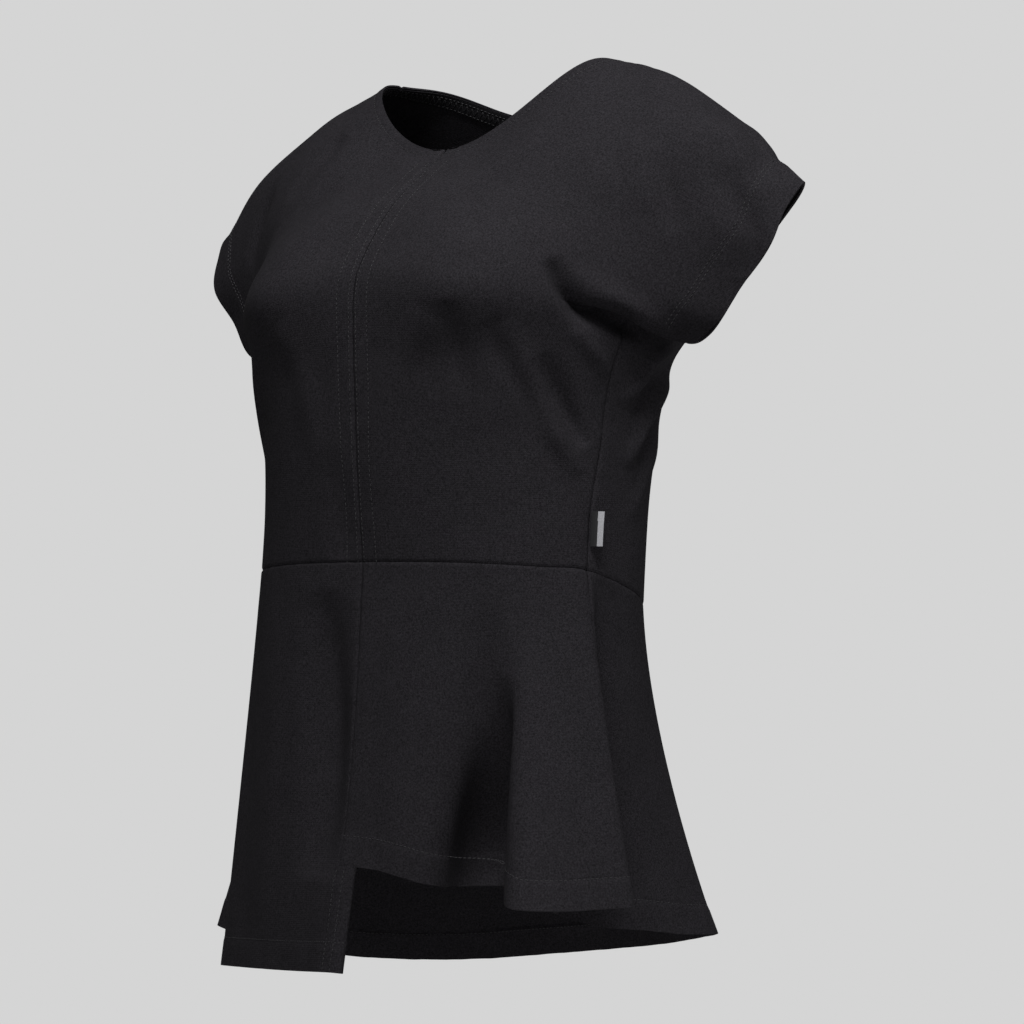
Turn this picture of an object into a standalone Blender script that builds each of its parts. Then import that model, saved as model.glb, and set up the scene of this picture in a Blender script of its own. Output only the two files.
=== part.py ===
"""A woman's jersey blouse in the form it takes when worn, with no wearer in it. Short sleeves
are cut in one with the bodice, the neck is wide and round, a seam runs down the centre front,
and a flared peplum steps from a long front on the wearer's right to a short one on the left.

Frame: metres, +Z up, the front faces -Y, and the wearer's left is +X. The origin is midway
between the two points where the neckline meets the shoulder seams, which is where a wearer's
shoulders hold the blouse up. The named sizes and tables below are in millimetres and degrees.
"""

import math

import bmesh
import bpy
import numpy as np
from mathutils.bvhtree import BVHTree

MM = 0.001

# Cloth and making
CLOTH = 1.6                # thickness of the double jersey
LEAN = 0.02                # the blouse hangs lower on the wearer's right, per mm of width
SEAM_GAP = 0.5             # between neighbouring panels
SEAM_STRIP = 2.0           # width of the narrow quads along a seam

# Mesh density
COLUMN_STEPS = 3           # quads between two named columns of the bodice
ROW_STEPS = [1, 1, 2, 2, 2, 2, 2, 3, 3, 4, 4]    # quads between its named rows, going up
PEPLUM_COLUMN_STEPS = 2    # quads between two rows of the hem table
PEPLUM_ROWS = 8            # quads down a peplum panel
LAP_ROWS = 2               # quads down the lap
FACING_COLUMNS = 64
FACING_ROWS = 2

# Neckline, drawn through a quarter turn on each side of the shoulder point
NECK_HALF_WIDTH = 94.0
NECK_FRONT = {"depth": 67.0, "drop": 60.5, "round": 0.8, "dip": 2.2}
NECK_BACK = {"depth": 50.0, "drop": 27.0, "round": 0.8, "dip": 4.0}
EDGE_BLEND = 0.25          # share of a section that is drawn to each edge

# Facing inside the neck
FACING_START = 0.7         # below the neckline
FACING_DEPTH = 13.0
FACING_THICKNESS = 1.0
FACING_GAP = 0.7           # between it and the cloth
NECK_STANDOFF = 60.0       # how steeply the cloth at the neck is taken to face upwards

# Torso rings, from the waist seam up to below the armpits
TORSO = [
    # height, half_width, front_y, middle_y, back_y, seam_y, front_squareness
    (-355.0, 146.0, -159.0, -57.0, 38.0, -93.0, 2.35),
    (-313.0, 145.0, -162.0, -53.0, 51.0, -88.0, 2.25),
    (-272.0, 146.0, -165.3, -48.6, 62.0, -80.0, 2.2),
    (-240.0, 147.5, -167.0, -45.3, 73.0, -77.0, 2.3),
    (-210.0, 153.0, -168.5, -42.2, 83.5, -73.0, 2.4),
]
WAIST_SIDE = -354.5        # height of the waist seam at the side seams
WAIST_FRONT_RISE = 8.0     # how much higher it is at the centre front
WAIST_BACK_DROP = 43.0     # and how much lower at the centre back

# Sections above the torso, each from the centre line or the neckline out over the sleeve.
# The first two end on the underarm seam and the others on the sleeve hem.
FRONT_YOKE = [
    # name,          inner,              chest,              armhole,            sleeve,             end
    ("armpit",       (0, -168, -163),    (76, -172, -170),   (123, -139, -180),  (150, -99, -187),   (158, -60, -189)),
    ("underarm",     (0, -155, -136),    (74, -163, -145),   (124, -136, -160),  (158, -90, -182),   (178, -33.6, -203)),
    ("low_hem",      (0, -123, -100),    (72, -139, -117),   (126, -119, -138),  (165, -80, -163),   (206, -40, -193)),
    ("mid_hem",      (0, -67, -60.5),    (66, -100, -86),    (126, -97, -108),   (174, -68, -138),   (226, -36, -167)),
    ("high_hem",     (47, -60, -44),     (92, -76, -60),     (136, -76, -78),    (187, -56, -106),   (246, -35, -142)),
    ("shoulder_top", (81, -38, -13),     (112, -38, -24),    (148, -40, -38),    (206, -34, -68),    (252, -25, -118)),
]
SHOULDER_SEAM = [(94, 0, 0), (124, -3, -8), (157, -6, -23), (207, -8, -61), (256, -9, -100)]
BACK_YOKE = [
    # name,          inner,              blade,              armhole,            sleeve,             end
    ("armpit",       (0, 88, -172),      (80, 82, -174),     (138, 46, -180),    (162, -4, -188),    (158, -60, -189)),
    ("underarm",     (0, 88, -136),      (78, 85, -142),     (138, 60, -158),    (164, 14, -180),    (178, -32.4, -203)),
    ("low_hem",      (0, 82, -97),       (76, 84, -106),     (138, 68, -130),    (166, 32, -160),    (180, -6, -196)),
    ("mid_hem",      (0, 68, -60),       (74, 76, -74),      (138, 68, -100),    (174, 42, -134),    (184, 18, -170)),
    ("high_hem",     (0, 50, -27),       (76, 58, -44),      (142, 58, -66),     (188, 42, -98),     (203, 24, -137)),
    ("shoulder_top", (66, 38, -7),       (112, 32, -16),     (156, 30, -35),     (212, 15, -69),     (241, 9, -107)),
]
MEAN_SECTION = 165.0       # length of a section from end to end, about
MEAN_HEIGHT = 400.0        # and of the bodice from waist to shoulder
SEAM_ROWS = len(TORSO) + 2
CENTRE_ROWS = {"front": len(TORSO) + 4, "back": len(TORSO) + 5}

# Peplum hem, once round from the centre front towards the wearer's left
SIDE_ANGLE = 72.0
WAIST_PER_DEGREE = 2.3     # mm round the waist to a degree
PEPLUM_PANELS = ["peplum_front_left", "peplum_back", "peplum_front_right"]
LONG_PANEL = "peplum_front_right"
HEM = [
    # waist_angle, x, y, z, flare: over 1 where the cloth falls straight before it swings out
    (0.0, 0.0, -184.5, -548.5, 1.35),
    (10.0, 30.0, -181.5, -550.5, 1.25),
    (18.0, 52.0, -180.5, -554.5, 1.1),
    (23.0, 66.0, -177.0, -558.0, 1.15),
    (28.0, 80.0, -163.0, -561.5, 1.3),
    (32.5, 94.0, -145.0, -563.5, 1.4),      # bottom of the deep trough
    (37.0, 108.0, -148.0, -564.0, 1.4),
    (41.0, 122.0, -163.0, -565.0, 1.4),
    (46.0, 142.0, -184.0, -569.0, 1.4),
    (50.0, 156.0, -184.0, -570.0, 1.35),    # front edge of the flute
    (56.0, 173.0, -166.0, -571.5, 1.25),
    (62.0, 187.0, -138.0, -572.0, 1.15),
    (70.0, 195.0, -118.0, -572.5, 1.05),    # outer fold of the flute
    (74.0, 168.0, -105.0, -576.5, 1.0),
    (79.0, 122.0, -104.0, -581.5, 1.0),     # inner fold behind it
    (86.0, 142.0, -82.0, -592.0, 1.1),
    (95.0, 160.0, -56.0, -596.0, 1.45),
    (106.0, 171.0, -22.0, -601.5, 1.5),
    (118.0, 172.0, 13.0, -605.0, 1.5),
    (134.0, 142.0, 48.0, -612.0, 1.5),
    (150.0, 90.0, 72.0, -623.0, 1.2),
    (166.0, 34.0, 83.0, -631.5, 1.2),
    (182.0, -20.0, 84.0, -638.5, 1.2),
    (200.0, -74.0, 75.0, -644.5, 1.2),
    (218.0, -124.0, 58.0, -646.5, 1.2),
    (236.0, -170.0, 30.0, -643.5, 1.2),
    (252.0, -198.0, -18.0, -633.0, 1.2),
    (266.0, -206.0, -76.0, -612.0, 1.2),    # flute at the wearer's right side
    (277.0, -158.0, -88.0, -622.0, 1.1),
    (283.0, -168.0, -98.0, -630.0, 1.05),
    (288.0, -170.0, -108.0, -634.5, 1.0),
    (294.0, -163.0, -119.0, -633.5, 1.0),
    (302.0, -146.0, -131.5, -631.5, 1.0),
    (322.0, -96.0, -157.0, -627.0, 1.1),
    (342.0, -46.0, -177.0, -623.0, 1.25),
    (360.0, 0.0, -197.0, -618.5, 1.35),
    (366.0, 14.5, -197.0, -618.5, 1.35),    # edge of the lap, past the centre seam
]

# Flag label in the wearer's left side seam
LABEL_WIDTH = 9.0
LABEL_HEIGHT = 24.0
LABEL_THICKNESS = 1.2
LABEL_Z = -327.0
LABEL_LEAN = 10.0          # degrees from pointing straight sideways, towards the back
LABEL_CLEAR = 0.9          # between its root and the cloth
LABEL_SEAM_POINTS = 100    # read along the side seam to place it


def spline(before, points, after, u):
    """A smooth curve through evenly numbered points, read at u from 0 to len(points) - 1.
    The points before and after only set the slopes at the two ends."""
    p = np.concatenate([[before], points, [after]])
    u = np.clip(u, 0, len(points) - 1)
    k = np.minimum(u.astype(int), len(points) - 2)
    f = (u - k)[:, None]
    if p.ndim == 3:
        n = np.arange(len(u))
        a, b, c, d = p[k, n], p[k + 1, n], p[k + 2, n], p[k + 3, n]
    else:
        a, b, c, d = p[k], p[k + 1], p[k + 2], p[k + 3]
    return b + 0.5 * f * (c - a + f * (2 * a - 5 * b + 4 * c - d + f * (3 * (b - c) + d - a)))


def waist_height(angle):
    """Height of the waist seam at a waist angle in degrees from the centre front."""
    away = abs((angle + 180) % 360 - 180)
    if away <= SIDE_ANGLE:
        return WAIST_SIDE + WAIST_FRONT_RISE * math.cos(math.pi / 2 * away / SIDE_ANGLE)
    share = (away - SIDE_ANGLE) / (180 - SIDE_ANGLE)
    return WAIST_SIDE - WAIST_BACK_DROP * math.sin(math.pi / 2 * share)


def torso_points(row, behind):
    """Five points of a torso ring from the centre front or back to the side seam."""
    height, half_width, front_y, middle_y, back_y, seam_y, square = row
    seam = math.acos(((middle_y - seam_y) / (middle_y - front_y)) ** (square / 2))
    points = []
    for i, turn in enumerate(np.linspace(math.pi if behind else 0.0, seam, 5)):
        power = 2 / square if math.cos(turn) > 0 else 1.0
        reach = middle_y - front_y if math.cos(turn) > 0 else back_y - middle_y
        x = half_width * math.sin(turn) ** power
        y = middle_y - reach * math.copysign(abs(math.cos(turn)) ** power, math.cos(turn))
        waist_angle = SIDE_ANGLE * i / 4
        if behind:
            waist_angle = 180 - (180 - SIDE_ANGLE) * i / 4
        points.append((x, y, waist_height(waist_angle) if row is TORSO[0] else height))
    return points


def section_net(behind):
    """The named points of half a front or half a back, a row for each section."""
    rows = [torso_points(row, behind) for row in TORSO]
    rows += [points for _, *points in (BACK_YOKE if behind else FRONT_YOKE)]
    return np.array(rows + [SHOULDER_SEAM], float)


NETS = {"front": section_net(False), "back": section_net(True)}
OTHER = {"front": "back", "back": "front"}
LAST_ROW = len(NETS["front"]) - 1


def section(panel, row, s):
    """Points along one section, s from 0 at the centre or neckline to 1 at its outer end."""
    points = NETS[panel][row]
    before = points[1] * (-1, 1, 1) if row < CENTRE_ROWS[panel] else 2 * points[0] - points[1]
    after = NETS[OTHER[panel]][row][-2] if row < SEAM_ROWS else 2 * points[-1] - points[-2]
    return spline(before, points, after, s * 4)


def neckline(panel, turn):
    """Points of the neckline, turn from 0 at the centre to 1 at the shoulder seam."""
    shape = NECK_FRONT if panel == "front" else NECK_BACK
    side = -1 if panel == "front" else 1
    cosine = np.maximum(np.cos(turn * math.pi / 2), 0)
    return np.stack([NECK_HALF_WIDTH * np.sin(turn * math.pi / 2),
                     side * shape["depth"] * cosine ** shape["round"],
                     -shape["drop"] * cosine ** shape["dip"]], axis=-1)


def edge_line(panel, column, count, t):
    """A curve of its own through the first few points of a column of the net."""
    line = NETS[panel][:count, column]
    return spline(2 * line[0] - line[1], line, 2 * line[-1] - line[-2], t * LAST_ROW)


def inner_edge(panel, t):
    """Points up the centre line and then round the neckline to the shoulder."""
    centre = CENTRE_ROWS[panel] - 1
    turn = np.clip((t * LAST_ROW - centre) / (LAST_ROW - centre), 0, 1)
    line = edge_line(panel, 0, CENTRE_ROWS[panel], t)
    return np.where(turn[:, None] > 0, neckline(panel, turn), line)


def outer_edge(panel, t, rough):
    """Points up the side and underarm seam, and then along the sleeve hem as it is."""
    on_seam = (t * LAST_ROW <= SEAM_ROWS - 1)[:, None]
    return np.where(on_seam, edge_line(panel, -1, SEAM_ROWS, t), rough)


def bodice_surface(panel, s, t):
    """Outer face of half the bodice, s outwards and t from the waist to the shoulder seam."""
    s, t = np.broadcast_arrays(np.asarray(s, float), np.asarray(t, float))
    shape = s.shape
    s, t = s.ravel(), t.ravel()
    rows = np.array([section(panel, r, s) for r in range(LAST_ROW + 1)])
    beyond = section(OTHER[panel], LAST_ROW - 1, s)
    points = spline(2 * rows[0] - rows[1], rows, beyond, t * LAST_ROW)
    # Next to its edges the cloth is drawn to them: the centre line, neckline and side seam
    for column, away in ((0, s), (-1, 1 - s)):
        line = NETS[panel][:, column]
        rough = spline(2 * line[0] - line[1], line, NETS[OTHER[panel]][-2, column], t * LAST_ROW)
        edge = inner_edge(panel, t) if column == 0 else outer_edge(panel, t, rough)
        share = np.clip(1 - away / EDGE_BLEND, 0, 1)[:, None] ** 2
        points = points + share * (edge - rough)
    return points.reshape(shape + (3,))


def waist_point(angle):
    """A point of the waist seam, once round from the centre front towards the wearer's left."""
    away = (angle + 180) % 360 - 180
    if abs(away) <= SIDE_ANGLE:
        point = bodice_surface("front", abs(away) / SIDE_ANGLE, 0.0)
    else:
        point = bodice_surface("back", (180 - abs(away)) / (180 - SIDE_ANGLE), 0.0)
    return point * (math.copysign(1, away), 1, 1)


def hem_rows(angles):
    """Rows of the hem table read at any waist angles."""
    table = np.array(HEM)
    places, values = table[:, 0], table[:, 1:]
    u = np.interp(angles, places, np.arange(len(table)))
    return spline(2 * values[0] - values[1], values, 2 * values[-1] - values[-2], u)


def peplum_surface(angles, v):
    """Outer face of the peplum, v from 0 at the waist seam to 1 at the hem."""
    tops = np.array([waist_point(a) for a in angles]) - (0, 0, SEAM_GAP)
    hem = hem_rows(angles)
    fall = hem[:, :3] - tops
    v = np.asarray(v)[:, None]
    swing = v ** hem[:, 3]
    return tops + fall * np.stack([swing, swing, v + 0 * swing], axis=2)


def make_material(name, colour, roughness):
    material = bpy.data.materials.new(name)
    material.use_nodes = True
    shader = material.node_tree.nodes["Principled BSDF"]
    shader.inputs["Base Color"].default_value = (*colour, 1)
    shader.inputs["Roughness"].default_value = roughness
    shader.inputs["Metallic"].default_value = 0.0
    material.diffuse_color = (*colour, 1)
    return material


def add_piece(name, patches, material, thickness):
    """A sheet from grids of points on its outer face, joined where they share points, with its
    thickness put on inwards. A grid's rows go up and its columns anticlockwise round the body."""
    sheet = bmesh.new()
    for points in patches:
        leaned = points + np.multiply.outer(points[..., 0] * LEAN, (0, 0, 1))
        verts = [[sheet.verts.new(p * MM) for p in row] for row in leaned]
        for low, high in zip(verts, verts[1:]):
            for corners in zip(low, low[1:], high[1:], high):
                sheet.faces.new(corners)
    bmesh.ops.remove_doubles(sheet, verts=sheet.verts, dist=0.00002)
    mesh = bpy.data.meshes.new(name)
    sheet.to_mesh(mesh)
    sheet.free()
    mesh.materials.append(material)
    mesh.shade_smooth()
    mesh.set_sharp_from_angle(angle=math.radians(50))
    piece = bpy.data.objects.new(name, mesh)
    piece.parent = bpy.data.objects["blouse_origin"]
    bpy.data.collections["blouse"].objects.link(piece)
    wall = piece.modifiers.new("thickness", "SOLIDIFY")
    wall.thickness = thickness * MM
    wall.offset = -1.0


def mirrored(points):
    """The same patch for the wearer's right side."""
    return points[:, ::-1] * (-1, 1, 1)


def with_strips(places, length):
    """Places from end to end of a panel of a given length, drawn in by half a gap, with a
    narrow strip along each edge. It lets both panels at a seam face the same way there."""
    half_gap = 0.5 * SEAM_GAP * (places[-1] - places[0]) / length
    strip = SEAM_STRIP * (places[-1] - places[0]) / length
    first, last = places[0], places[-1]
    inner = [p for p in places if first + 1.5 * strip < p < last - 1.5 * strip]
    return np.array([first + half_gap, first + strip, *inner, last - strip, last - half_gap])


def bodice_patch(panel, start=0.0):
    """Points of half the bodice, drawn in from its seams by half a gap."""
    s = with_strips(np.linspace(0, 1, 4 * COLUMN_STEPS + 1), MEAN_SECTION)
    rows = [k + i / n for k, n in enumerate(ROW_STEPS) for i in range(n)] + [LAST_ROW]
    t = with_strips(np.array(rows) / LAST_ROW, MEAN_HEIGHT)
    s[0], t[0] = start, 0
    points = bodice_surface(panel, s[None, :], t[:, None])
    return points if panel == "front" else points[:, ::-1]


def build_bodice(material):
    front = bodice_patch("front", 0.5 * SEAM_GAP / MEAN_SECTION)
    add_piece("bodice_front_left", [front], material, CLOTH)
    add_piece("bodice_front_right", [mirrored(front)], material, CLOTH)
    back = bodice_patch("back")
    add_piece("bodice_back", [back, mirrored(back)], material, CLOTH)
    return [front, mirrored(front), back, mirrored(back)]


def build_neck_facing(bodice, material):
    """A narrow band inside the neckline. Each of its points is the nearest one of the bodice
    to a point on the straight line that leaves the neckline down the cloth, moved inwards."""
    verts, faces = [], []
    for points in bodice:
        rows, columns = points.shape[:2]
        corners = np.arange(rows * columns).reshape(rows, columns) + len(verts)
        verts += points.reshape(-1, 3).tolist()
        faces += np.stack([corners[:-1, :-1], corners[:-1, 1:], corners[1:, 1:], corners[1:, :-1]],
                          axis=-1).reshape(-1, 4).tolist()
    cloth = BVHTree.FromPolygons(verts, faces)
    depths = np.linspace(FACING_START, FACING_DEPTH, FACING_ROWS + 1)
    grid = []
    for i in range(FACING_COLUMNS):
        turn = 4 * i / FACING_COLUMNS
        edge, ahead = neck_edge(turn), neck_edge(turn + 0.01) - neck_edge(turn - 0.01)
        outward = edge * (1, 1, 0) + (0, 0, NECK_STANDOFF)
        _, normal, _, _ = cloth.find_nearest(tuple(edge + outward / np.linalg.norm(outward)))
        normal = np.array(normal) * np.sign(np.dot(normal, outward))
        down = np.cross(ahead, normal)
        down /= np.linalg.norm(down)
        column = []
        for depth in depths:
            place, normal, _, _ = cloth.find_nearest(tuple(edge + down * depth))
            normal = np.array(normal) * np.sign(np.dot(normal, outward))
            column.append(np.array(place) - normal * (CLOTH + FACING_GAP))
        grid.append(column[::-1])
    grid = np.array(grid + grid[:1]).transpose(1, 0, 2)
    add_piece("neck_facing", [grid], material, FACING_THICKNESS)


def neck_edge(turn):
    """A point of the neckline, turn from 0 to 4 once round from the centre front."""
    quarter = int(turn // 1) % 4
    share = turn % 1
    panel = "front" if quarter in (0, 3) else "back"
    side = 1 if quarter in (0, 1) else -1
    return neckline(panel, share if quarter in (0, 2) else 1 - share) * (side, 1, 1)


def build_peplum(material):
    places = [row[0] for row in HEM]
    steps = np.arange((len(HEM) - 1) * PEPLUM_COLUMN_STEPS + 1) / PEPLUM_COLUMN_STEPS
    angles = np.interp(steps, np.arange(len(HEM)), places)
    seams = [0.0, SIDE_ANGLE, 360 - SIDE_ANGLE, 360.0]
    v = np.linspace(0, 1, PEPLUM_ROWS + 1)
    for name, first, last in zip(PEPLUM_PANELS, seams, seams[1:]):
        inside = [a for a in angles if first < a < last]
        columns = with_strips([first, *inside, last], (last - first) * WAIST_PER_DEGREE)
        if name != LONG_PANEL:
            add_piece(name, [peplum_surface(columns, v)[::-1]], material, CLOTH)
            continue
        # Below the short front's hem, the long front runs on past the centre seam as a lap
        short_drop = HEM[0][3] - SEAM_GAP - waist_height(0)
        lap_top = short_drop / (HEM[-1][3] - waist_height(0))
        above = np.linspace(0, lap_top, PEPLUM_ROWS)
        below = np.linspace(lap_top, 1, LAP_ROWS + 1)
        lap = [columns[-1]] + [a for a in angles if a > last]
        rows = np.concatenate([above, below[1:]])
        add_piece(name, [peplum_surface(columns, rows)[::-1], peplum_surface(lap, below)[::-1]],
                  material, CLOTH)


def build_side_label(material):
    """A flag of ribbon whose root lies along the side seam, just clear of the cloth."""
    heights = np.array([LABEL_Z - LABEL_HEIGHT / 2, LABEL_Z + LABEL_HEIGHT / 2])
    seam = bodice_surface("front", 1.0, np.linspace(0, (SEAM_ROWS - 1) / LAST_ROW, LABEL_SEAM_POINTS))
    foot = np.array([[np.interp(z, seam[:, 2], seam[:, k]) for k in range(3)] for z in heights])
    lean = math.radians(LABEL_LEAN)
    direction = np.array([math.cos(lean), math.sin(lean), 0])
    root = foot + direction * LABEL_CLEAR
    flag = np.stack([root, root + direction * LABEL_WIDTH], axis=1)
    add_piece("side_label", [flag], material, LABEL_THICKNESS)


def main():
    for old in list(bpy.data.objects):
        bpy.data.objects.remove(old)
    collection = bpy.data.collections.new("blouse")
    bpy.context.scene.collection.children.link(collection)
    collection.objects.link(bpy.data.objects.new("blouse_origin", None))
    jersey = make_material("black_jersey", (0.016, 0.0145, 0.017), 0.85)
    binding = make_material("black_binding", (0.010, 0.010, 0.011), 0.9)
    ribbon = make_material("black_ribbon", (0.012, 0.012, 0.013), 0.5)
    bodice = build_bodice(jersey)
    build_neck_facing(bodice, binding)
    build_peplum(jersey)
    build_side_label(ribbon)


main()
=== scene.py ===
import math
import bpy
import numpy as np
from mathutils.bvhtree import BVHTree
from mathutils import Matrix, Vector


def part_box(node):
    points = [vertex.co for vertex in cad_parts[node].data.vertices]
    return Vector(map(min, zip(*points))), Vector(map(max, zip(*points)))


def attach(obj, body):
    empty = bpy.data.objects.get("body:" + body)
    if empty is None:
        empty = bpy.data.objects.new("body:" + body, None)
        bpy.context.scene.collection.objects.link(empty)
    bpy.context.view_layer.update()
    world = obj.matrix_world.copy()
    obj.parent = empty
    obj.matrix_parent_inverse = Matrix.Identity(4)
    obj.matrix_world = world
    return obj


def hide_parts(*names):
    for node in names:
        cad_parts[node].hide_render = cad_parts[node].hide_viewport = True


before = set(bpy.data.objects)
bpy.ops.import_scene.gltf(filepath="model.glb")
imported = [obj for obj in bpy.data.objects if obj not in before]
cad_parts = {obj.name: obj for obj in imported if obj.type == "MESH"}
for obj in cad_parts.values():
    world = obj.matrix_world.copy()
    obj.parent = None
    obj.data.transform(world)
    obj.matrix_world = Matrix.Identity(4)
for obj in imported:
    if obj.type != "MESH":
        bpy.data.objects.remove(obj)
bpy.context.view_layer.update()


# Bodice: two fronts and one back cut from a firm black double jersey, the short sleeves cut in
# one with them. The panels are overlocked together at the shoulders, sides and centre front,
# so each seam sits in a soft groove, and the cloth pulls into drag folds from the armpits.
CLOTH = 1.3
SEAM_GAP = 0.16
LEAN = 0.02
SLEEVE_HEM = 26.0
SLEEVE_ROWS = (SLEEVE_HEM - 1.5, SLEEVE_HEM + 1.5)
WAIST, WAIST_RISE, WAIST_DIP = -354.5, 8.0, 43.0
CUT_HALF_WIDTH, CUT_LENGTH = 165.0, 400.0
TORSO = [
    # height, half_width, front_y, middle_y, back_y, seam_y, front_squareness
    (-355.0, 146.0, -159.0, -57.0, 38.0, -93.0, 2.35),
    (-313.0, 145.0, -162.0, -53.0, 51.0, -88.0, 2.25),
    (-272.0, 146.0, -165.3, -48.6, 62.0, -80.0, 2.2),
    (-240.0, 147.5, -167.0, -45.3, 73.0, -77.0, 2.3),
    (-210.0, 153.0, -168.5, -42.2, 83.5, -73.0, 2.4),
]
FRONT_YOKE = [
    [(0, -168, -163), (76, -172, -170), (123, -139, -180), (150, -99, -187), (158, -60, -189)],
    [(0, -155, -136), (74, -163, -145), (124, -136, -160), (158, -90, -182), (178, -33.6, -203)],
    [(0, -123, -100), (72, -139, -117), (126, -119, -138), (165, -80, -163), (206, -40, -193)],
    [(0, -67, -60.5), (66, -100, -86), (126, -97, -108), (174, -68, -138), (226, -36, -167)],
    [(47, -60, -44), (92, -76, -60), (136, -76, -78), (187, -56, -106), (246, -35, -142)],
    [(81, -38, -13), (112, -38, -24), (148, -40, -38), (206, -34, -68), (252, -25, -118)],
]
BACK_YOKE = [
    [(0, 88, -172), (80, 82, -174), (138, 46, -180), (162, -4, -188), (158, -60, -189)],
    [(0, 88, -136), (78, 85, -142), (138, 60, -158), (164, 14, -180), (178, -32.4, -203)],
    [(0, 82, -97), (76, 84, -106), (138, 68, -130), (166, 32, -160), (180, -6, -196)],
    [(0, 68, -60), (74, 76, -74), (138, 68, -100), (174, 42, -134), (184, 18, -170)],
    [(0, 50, -27), (76, 58, -44), (142, 58, -66), (188, 42, -98), (203, 24, -137)],
    [(66, 38, -7), (112, 32, -16), (156, 30, -35), (212, 15, -69), (241, 9, -107)],
]
SHOULDER_SEAM = [(94, 0, 0), (124, -3, -8), (157, -6, -23), (207, -8, -61), (256, -9, -100)]
SIDE_ANGLE = 72.0
SEAM_ROWS = 7
CENTRE_ROWS = {"front": 9, "back": 10}
NECK = {"front": (-67.0, 60.5, 0.8, 2.2), "back": (50.0, 27.0, 0.8, 4.0)}
OTHER = {"front": "back", "back": "front"}


def spline(before, points, after, u):
    p = np.concatenate([[before], points, [after]])
    u = np.clip(u, 0, len(points) - 1)
    k = np.minimum(u.astype(int), len(points) - 2)
    f = (u - k)[:, None]
    if p.ndim == 3:
        n = np.arange(len(u))
        a, b, c, d = p[k, n], p[k + 1, n], p[k + 2, n], p[k + 3, n]
    else:
        a, b, c, d = p[k], p[k + 1], p[k + 2], p[k + 3]
    return b + 0.5 * f * (c - a + f * (2 * a - 5 * b + 4 * c - d + f * (3 * (b - c) + d - a)))


def waist_height(angle):
    away = abs((angle + 180) % 360 - 180)
    if away <= SIDE_ANGLE:
        return WAIST + WAIST_RISE * math.cos(math.pi / 2 * away / SIDE_ANGLE)
    return WAIST - WAIST_DIP * math.sin(math.pi / 2 * (away - SIDE_ANGLE) / (180 - SIDE_ANGLE))


def torso_points(row, behind):
    height, half_width, front_y, middle_y, back_y, seam_y, square = row
    seam = math.acos(((middle_y - seam_y) / (middle_y - front_y)) ** (square / 2))
    points = []
    for i, turn in enumerate(np.linspace(math.pi if behind else 0.0, seam, 5)):
        forward = math.cos(turn) > 0
        power = 2 / square if forward else 1.0
        reach = middle_y - front_y if forward else back_y - middle_y
        y = middle_y - reach * math.copysign(abs(math.cos(turn)) ** power, math.cos(turn))
        waist_angle = 180 - (180 - SIDE_ANGLE) * i / 4 if behind else SIDE_ANGLE * i / 4
        z = waist_height(waist_angle) if row is TORSO[0] else height
        points.append((half_width * math.sin(turn) ** power, y, z))
    return points


net = {
    panel: np.array([torso_points(row, panel == "back") for row in TORSO] + yoke + [SHOULDER_SEAM], float)
    for panel, yoke in (("front", FRONT_YOKE), ("back", BACK_YOKE))
}
LAST_ROW = len(net["front"]) - 1


def section(panel, row, s):
    points = net[panel][row]
    before = points[1] * (-1, 1, 1) if row < CENTRE_ROWS[panel] else 2 * points[0] - points[1]
    after = net[OTHER[panel]][row][-2] if row < SEAM_ROWS else 2 * points[-1] - points[-2]
    return spline(before, points, after, s * 4)


def neckline(panel, turn):
    depth, drop, rounding, dip = NECK[panel]
    cosine = np.maximum(np.cos(turn * math.pi / 2), 0)
    across = 94.0 * np.sin(turn * math.pi / 2)
    return np.stack([across, depth * cosine ** rounding, -drop * cosine ** dip], axis=-1)


def edge_line(panel, column, count, t):
    line = net[panel][:count, column]
    return spline(2 * line[0] - line[1], line, 2 * line[-1] - line[-2], t * LAST_ROW)


def inner_edge(panel, t, rough):
    centre = CENTRE_ROWS[panel] - 1
    turn = np.clip((t * LAST_ROW - centre) / (LAST_ROW - centre), 0, 1)
    return np.where(turn[:, None] > 0, neckline(panel, turn), edge_line(panel, 0, centre + 1, t))


def outer_edge(panel, t, rough):
    on_seam = (t * LAST_ROW <= SEAM_ROWS - 1)[:, None]
    return np.where(on_seam, edge_line(panel, -1, SEAM_ROWS, t), rough)


def bodice_surface(panel, s, t):
    s, t = np.broadcast_arrays(np.asarray(s, float), np.asarray(t, float))
    shape = s.shape
    s, t = s.ravel(), t.ravel()
    rows = np.array([section(panel, r, s) for r in range(LAST_ROW + 1)])
    beyond = section(OTHER[panel], LAST_ROW - 1, s)
    points = spline(2 * rows[0] - rows[1], rows, beyond, t * LAST_ROW)
    for column, edge, away in ((0, inner_edge, s), (-1, outer_edge, 1 - s)):
        line = net[panel][:, column]
        rough = spline(2 * line[0] - line[1], line, net[OTHER[panel]][-2, column], t * LAST_ROW)
        share = np.clip(1 - away / 0.25, 0, 1)[:, None] ** 2
        points = points + share * (edge(panel, t, rough) - rough)
    return points.reshape(shape + (3,))


def leaned(points):
    return points + np.multiply.outer(points[..., 0] * LEAN, (0, 0, 1))


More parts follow.
